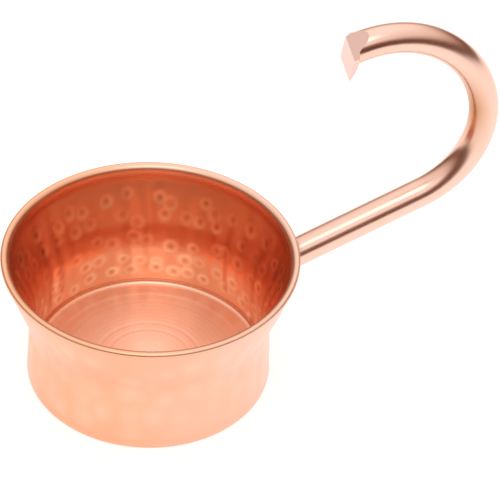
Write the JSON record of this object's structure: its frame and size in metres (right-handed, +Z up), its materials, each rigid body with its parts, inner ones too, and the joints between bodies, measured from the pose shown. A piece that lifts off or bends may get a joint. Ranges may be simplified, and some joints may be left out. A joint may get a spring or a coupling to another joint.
{
  "type": "copper cup with hook handle",
  "caption": "Small spun and hammered copper cup with a flared lip and a round bar handle bent into an open hook with a square end.",
  "frame": {"origin": "centre of the cup's flat foot, on the cup's axis", "axes": "+Z up along the cup's axis, +X from the cup towards the hook handle, +Y across the handle"},
  "size_m": [0.169, 0.1, 0.1294],
  "materials": {
    "cup": "spun and hammered copper, satin outside, bare inside",
    "handle": "polished copper round bar",
    "braze_fillet": "dressed copper braze, satin"
  },
  "bodies": {
    "root": {"cup": "cup", "handle": "handle", "braze_fillet": "braze_fillet"}
  },
  "joints": []
}
